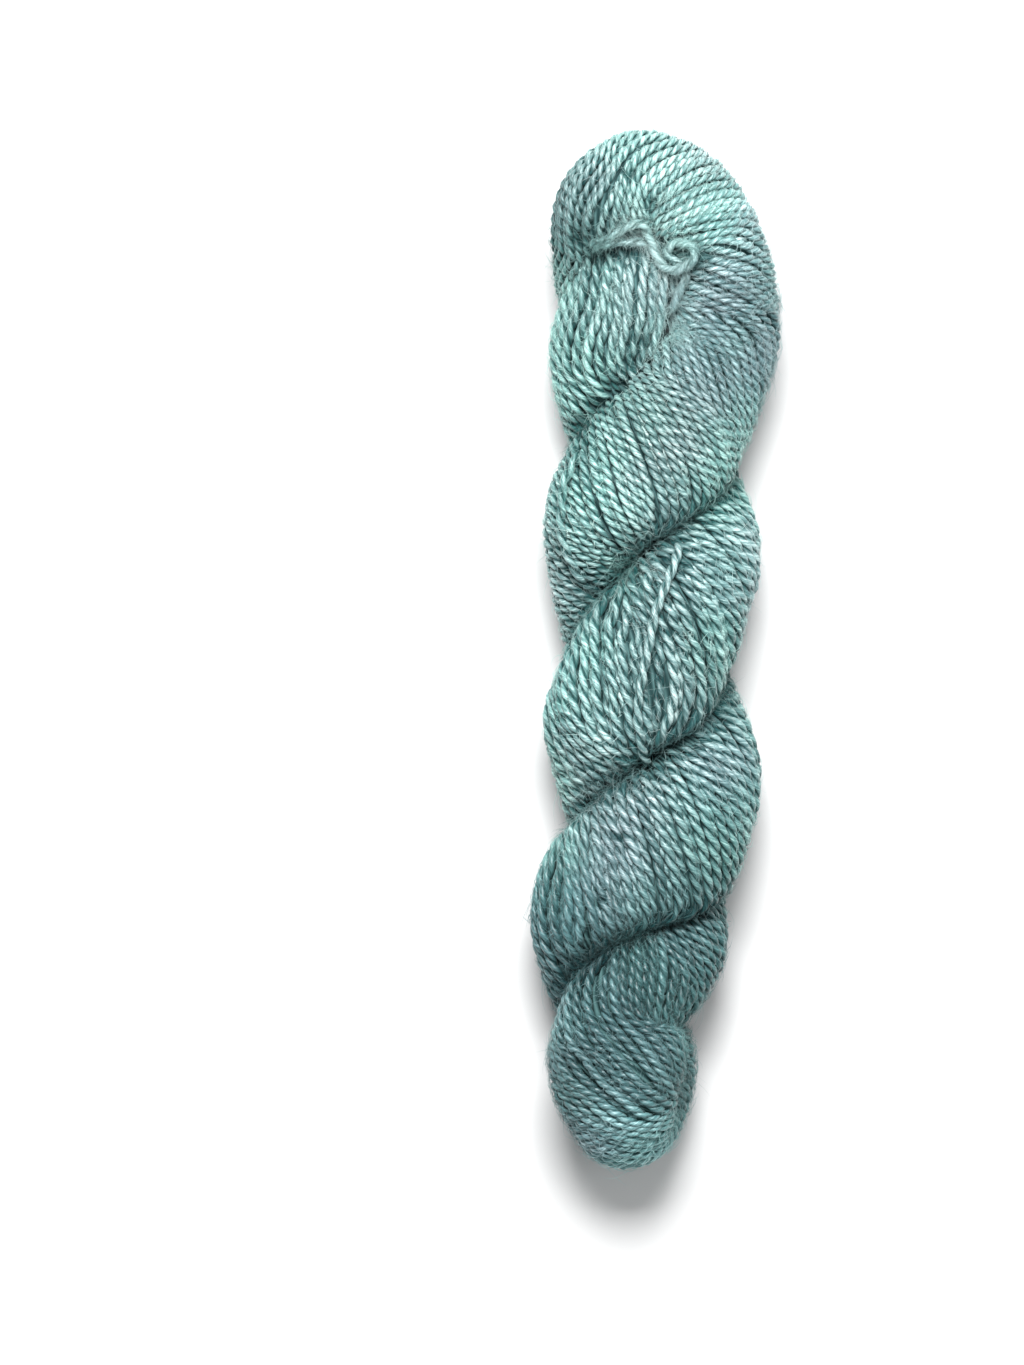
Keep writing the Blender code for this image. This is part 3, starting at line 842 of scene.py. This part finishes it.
def add_hairs(rng, target, places, kind, standing=PRESSED_RADIUS):
    """Fine curved hairs that stand off the yarns, with painted shade darkening them down in the creases.
    """
    steps, shortest, longest, highest, thickest = (kind[name] for name in HAIR_COLUMNS)
    root, up, ahead = places
    each = (len(root), 1)
    aside = np.cross(ahead, up)
    swing = rng.normal(0, HAIR_SWING, each)
    heading = ahead * np.cos(swing) * rng.choice((-1.0, 1.0), each) + aside * np.sin(swing)
    length = rng.uniform(shortest, longest, each)
    rise = highest * rng.uniform(*HAIR_RISE, each)
    bend = rng.normal(0, HAIR_BEND, each) * length
    fall = rng.uniform(*HAIR_FALL, each)
    t = np.linspace(0, 1, steps + 1)
    line = (root + up * standing)[:, None] + heading[:, None] * (length * t)[..., None]
    line += up[:, None] * (rise * np.sin(math.pi * fall * t))[..., None]
    line += np.cross(heading, up)[:, None] * (bend * t**2)[..., None]
    clear = line[..., 2].min(1) > HAIR_CLEARANCE
    line, up = line[clear], up[clear]
    forward = unit(np.gradient(line, axis=1))
    one = unit(np.cross(forward, up[:, None] + 0.01))  # a little off, where a hair stands straight up
    two = np.cross(forward, one)
    thick = rng.uniform(*HAIR_THICKNESS, (len(line), 1)) * thickest * (1 - HAIR_TAPER * t)
    angle = np.linspace(0, 2 * math.pi, 3, endpoint=False)[:, None]
    ring = one[:, :, None] * np.cos(angle) + two[:, :, None] * np.sin(angle)
    rings = line[:, :, None] + ring * thick[..., None, None]
    tone = rng.uniform(-1, 1, (len(line), 1, 1))
    # painted shade on hairs rooted in the creases, the hollows and under the tie and slack yarns
    painted_light = 1 - HAIR_SHADE * shade_at(root[clear])[:, None, None]
    target.add(rings, 0.0, tone, painted_light)


def node(tree, kind, inputs, **settings):
    """Adds a node; an input is given as its value, or as the socket that feeds it."""
    made = tree.nodes.new(kind)
    for name, value in settings.items():
        setattr(made, name, value)
    feed(tree, made, inputs)
    return made


def feed(tree, made, inputs):
    for name, value in inputs.items():
        if isinstance(value, bpy.types.NodeSocket):
            tree.links.new(value, made.inputs[name])
        else:
            made.inputs[name].default_value = value


def new_material(name):
    """A node material, its node tree and its shader."""
    material = bpy.data.materials.new(name)
    material.use_nodes = True
    return material, material.node_tree, material.node_tree.nodes["Principled BSDF"]


def attribute(tree, name, output="Fac"):
    return node(tree, "ShaderNodeAttribute", {}, attribute_name=name).outputs[output]


def share_between(tree, value, start, end, ease="SMOOTHSTEP", low=0.0, high=1.0):
    """The socket of a share that goes from low to high as value goes from start to end."""
    span = {"Value": value, "From Min": start, "From Max": end, "To Min": low, "To Max": high}
    return node(tree, "ShaderNodeMapRange", span, interpolation_type=ease).outputs[0]


def dye_and_painted_light_over(tree, under, share, colour):
    """The colour socket under with that much of a tint multiplied over it, for dye and for painted light
    and shade.
    """
    sockets = {0: share, 6: under, 7: (*colour, 1)}
    return node(tree, "ShaderNodeMix", sockets, data_type="RGBA", blend_type="MULTIPLY").outputs[2]


def colour_ramp(tree, value, stops, colours):
    ramp = node(tree, "ShaderNodeValToRGB", {"Fac": value})
    elements = ramp.color_ramp.elements
    while len(elements) < len(colours):
        elements.new(0.5)
    for element, stop, colour in zip(elements, stops, colours):
        element.position = stop
        element.color = (*colour, 1)
    return ramp.outputs["Color"]


def with_dye_and_painted_light(tree, colour, place):
    """The colour with tints over it: the dye's greener noise, a darker lower part, and each patch of dye
    and painted light and shade.
    """
    dye = node(tree, "ShaderNodeTexNoise", {"Vector": place, "Scale": 26.0, "Detail": 2.0})
    share = share_between(tree, dye.outputs["Fac"], *GREEN_SPAN, "LINEAR")
    colour = dye_and_painted_light_over(tree, colour, share, GREEN_TINT)
    along = node(tree, "ShaderNodeSeparateXYZ", {0: place}).outputs["Y"]
    colour = dye_and_painted_light_over(tree, colour, share_between(tree, along, *LOWER_SPAN), LOWER_TINT)
    flat = node(tree, "ShaderNodeVectorMath", {0: place, 1: (1, 1, 0)}, operation="MULTIPLY").outputs[0]
    for x, y, reach, tint in DYE_AND_PAINTED_LIGHT_PATCHES:
        ends = {0: flat, 1: (x * MM, y * MM, 0)}
        away = node(tree, "ShaderNodeVectorMath", ends, operation="DISTANCE").outputs["Value"]
        share = share_between(tree, away, reach * MM, PATCH_CORE * reach * MM)
        colour = dye_and_painted_light_over(tree, colour, share, tint)
    return colour


def wool_material(name, colours, shine=SKEIN_SHINE):
    """Dyed wool: tonal patches of dye and of painted light and shade over the skein, painted shade down
    between the plies, fibre streaks along each ply, a soft sheen.
    """
    material, tree, shader = new_material(name)
    ends = {0: attribute(tree, "wool", "Vector"), 1: FIBRE_STRETCH}
    stretched = node(tree, "ShaderNodeVectorMath", ends, operation="MULTIPLY").outputs[0]
    grain = {"Vector": stretched, "Scale": 1.0, "Detail": 3.0, "Roughness": 0.65}
    fibres = node(tree, "ShaderNodeTexNoise", grain).outputs["Fac"]
    terms = {0: attribute(tree, "tone"), 1: TONE_SHARE, 2: TONE_SHIFT}
    tone = node(tree, "ShaderNodeMath", terms, operation="MULTIPLY_ADD").outputs[0]
    terms = {0: fibres, 1: STREAK_SHARE, 2: tone}
    streaks = node(tree, "ShaderNodeMath", terms, operation="MULTIPLY_ADD")
    colour = colour_ramp(tree, streaks.outputs[0], WOOL_STOPS, colours)
    place = node(tree, "ShaderNodeTexCoord", {}).outputs["Object"]
    # painted shade: the colour darkens to a teal tint and shines less where the light attribute is low
    painted_shade = share_between(tree, attribute(tree, "painted_light"), 1.0, PAINTED_SHADE_FULL_AT)
    bump = {"Strength": 0.5, "Distance": 0.25 * MM, "Height": fibres}
    look = {
        "Base Color": dye_and_painted_light_over(tree, with_dye_and_painted_light(tree, colour, place), painted_shade, PAINTED_SHADE_TINT),
        "Roughness": 0.42,
        "Specular IOR Level": share_between(tree, painted_shade, 0.0, 1.0, "LINEAR", shine, PAINTED_SHADE_SHINE),
        "Sheen Weight": 0.15,
        "Sheen Roughness": 0.45,
        "Sheen Tint": (0.75, 0.95, 0.92, 1.0),
        "Normal": node(tree, "ShaderNodeBump", bump).outputs["Normal"],
    }
    feed(tree, shader, look)
    return material


def inner_material():
    """Darker inner yarns, seen only between the outer ones: slanting plies in shade."""
    material, tree, shader = new_material("inner wool")
    place = attribute(tree, "wool", "Vector")
    waves = {"Vector": place, "Scale": INNER_WAVE, "Distortion": 1.2, "Detail": 2.0}
    plies = node(tree, "ShaderNodeTexWave", waves, wave_type="BANDS", bands_direction="X").outputs["Fac"]
    bump = {"Strength": 0.8, "Distance": 0.6 * MM, "Height": plies}
    look = {
        "Base Color": colour_ramp(tree, plies, (0.1, 0.9), INNER_WOOL),
        "Roughness": 0.8,
        "Specular IOR Level": 0.15,
        "Normal": node(tree, "ShaderNodeBump", bump).outputs["Normal"],
    }
    feed(tree, shader, look)
    return material


def laid_route(tree, rows, lift):
    """A strand's middle line, laid over the skein and eased where it bridges a hollow."""
    rough = smooth_rows(rows, np.linspace(0, len(rows) - 1, STRAND_SAMPLES)) * MM
    length = np.linalg.norm(np.diff(rough[:, :2], axis=0), axis=1).sum()
    route = smooth_rows(rows, np.linspace(0, len(rows) - 1, round(length / BUNDLE_STEP))) * MM
    heights = np.array([tree.ray_cast(Vector((x, y, 1)), Vector((0, 0, -1)))[0].z for x, y, _ in route])
    heights += lift
    spread = np.ones(STRAND_BRIDGE) / STRAND_BRIDGE
    eased = np.convolve(np.pad(heights, STRAND_BRIDGE // 2, mode="edge"), spread, mode="valid")
    return np.column_stack([route[:, :2], np.maximum(heights, eased) + route[:, 2]])


def lay_strand(rng, mesh, roots, tree, rows, lane, lift, shaded, size):
    """Adds one strand that lies over the skein, a little uneven, and where its hairs may stand."""
    points = laid_route(tree, rows, lift)
    at = BUNDLE_STEP * np.arange(len(points))
    points += STRAND_STRAY * slow_noise(rng, 3, at, STRAND_WAVE).T
    outward = np.tile([0.0, 0.0, 1.0], (len(points), 1))
    room = np.full((len(points), 1), YARN_WIDTH)
    ply_tubes(rng, mesh, points, outward, room, np.zeros_like(room), lane, shaded, size)
    roots.append((points, outward))


def build_tie(rng, tree):
    """The tie's soft strands: the one that its solid follows, and the short end beside it."""
    mesh = TubeMesh()
    roots = []
    for number, rows in enumerate((TIE_ROWS, TIE_END_ROWS)):
        lay_strand(rng, mesh, roots, tree, rows, TIE_LANE + number, TIE_LIFT, 0, TIE_PLIES)
    return mesh, roots


def stage_floor():
    mesh = bpy.data.meshes.new("floor")
    s = FLOOR_SIZE / 2
    mesh.from_pydata([(-s, -s, 0.0), (s, -s, 0.0), (s, s, 0.0), (-s, s, 0.0)], [], [(0, 1, 2, 3)])
    floor = bpy.data.objects.new("floor", mesh)
    bpy.context.scene.collection.objects.link(floor)
    material, tree, shader = new_material("pale floor")
    feed(tree, shader, {"Base Color": FLOOR_COLOUR, "Roughness": 0.9})
    mesh.materials.append(material)


def add_light(name, place, size, power):
    data = bpy.data.lights.new(name, "AREA")
    data.size = size
    data.energy = power
    light = bpy.data.objects.new(name, data)
    light.location = place
    light.rotation_euler = (Vector(LIGHT_TARGET) - Vector(place)).to_track_quat("-Z", "Y").to_euler()
    bpy.context.scene.collection.objects.link(light)


def set_light():
    scene = bpy.context.scene
    scene.view_settings.view_transform = "Standard"
    scene.world = bpy.data.worlds.new("studio")
    scene.world.use_nodes = True
    tree = scene.world.node_tree
    feed(tree, tree.nodes["Background"], {"Color": SKY_COLOUR, "Strength": SKY_STRENGTH})
    for light in LIGHTS:
        add_light(*light)


def set_camera():
    """The camera looks straight down, on the picture's frame."""
    width, height = IMAGE_SIZE
    right, down = width / 2 - ORIGIN_PIXEL[0], height / 2 - ORIGIN_PIXEL[1]
    data = bpy.data.cameras.new("camera")
    data.lens = data.sensor_width * (CAMERA_HEIGHT - SCALE_HEIGHT) / (height * PIXEL)
    camera = bpy.data.objects.new("camera", data)
    camera.location = (right * PIXEL, -down * PIXEL, CAMERA_HEIGHT)
    bpy.context.scene.collection.objects.link(camera)
    bpy.context.scene.camera = camera


def dress_skein(rng, tree, hair):
    """Puts the yarns and their hairs in the place of the skein's solid."""
    meshes, roots = build_yarns(rng, tree, bundle_frames(BUNDLE_STEP))
    yarn = wool_material("dyed wool", SKEIN_WOOL)
    made = [(mesh.make(f"plies_{number}"), yarn) for number, mesh in enumerate(meshes, 1)]
    made.append((build_core(), inner_material()))
    fuzz, strays = TubeMesh(), TubeMesh()
    add_hairs(rng, fuzz, hair_roots(rng, roots, FUZZ_HAIRS), FUZZ)
    add_hairs(rng, strays, hair_roots(rng, roots, CREASE_HAIRS, in_crease), FUZZ)
    add_hairs(rng, strays, hair_roots(rng, roots, DOWN_HAIRS, in_down), FUZZ)
    add_hairs(rng, strays, hair_roots(rng, roots, GAP_HAIRS, in_gap), FUZZ)
    add_hairs(rng, strays, hair_roots(rng, roots, STRAY_HAIRS), STRAYS)
    made += [(fuzz.make("hairs_1"), hair), (strays.make("hairs_2"), hair)]
    for piece, material in made:
        piece.data.materials.append(material)
        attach(piece, "root")
        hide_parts("skein_body")


def dress_tie(rng, tree, hair):
    """Puts the tie's strands and their hairs in the place of its solid."""
    strands, roots = build_tie(rng, tree)
    fluff = TubeMesh()
    add_hairs(rng, fluff, hair_roots(rng, roots, TIE_FUZZ), FUZZ, TIE_STANDING)
    add_hairs(rng, fluff, hair_roots(rng, roots, TIE_STRAYS), STRAYS, TIE_STANDING)
    wool = wool_material("tie wool", TIE_WOOL, TIE_SHINE)
    for piece, material in ((strands.make("tie_plies"), wool), (fluff.make("tie_hairs"), hair)):
        piece.data.materials.append(material)
        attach(piece, "root")
        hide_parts("tie")


def main():
    rng = np.random.default_rng(SEED)
    tree = surface_tree()
    hair = wool_material("wool hairs", HAIR_WOOL)
    dress_skein(rng, tree, hair)
    dress_tie(rng, tree, hair)
    stage_floor()
    set_light()
    set_camera()


main()
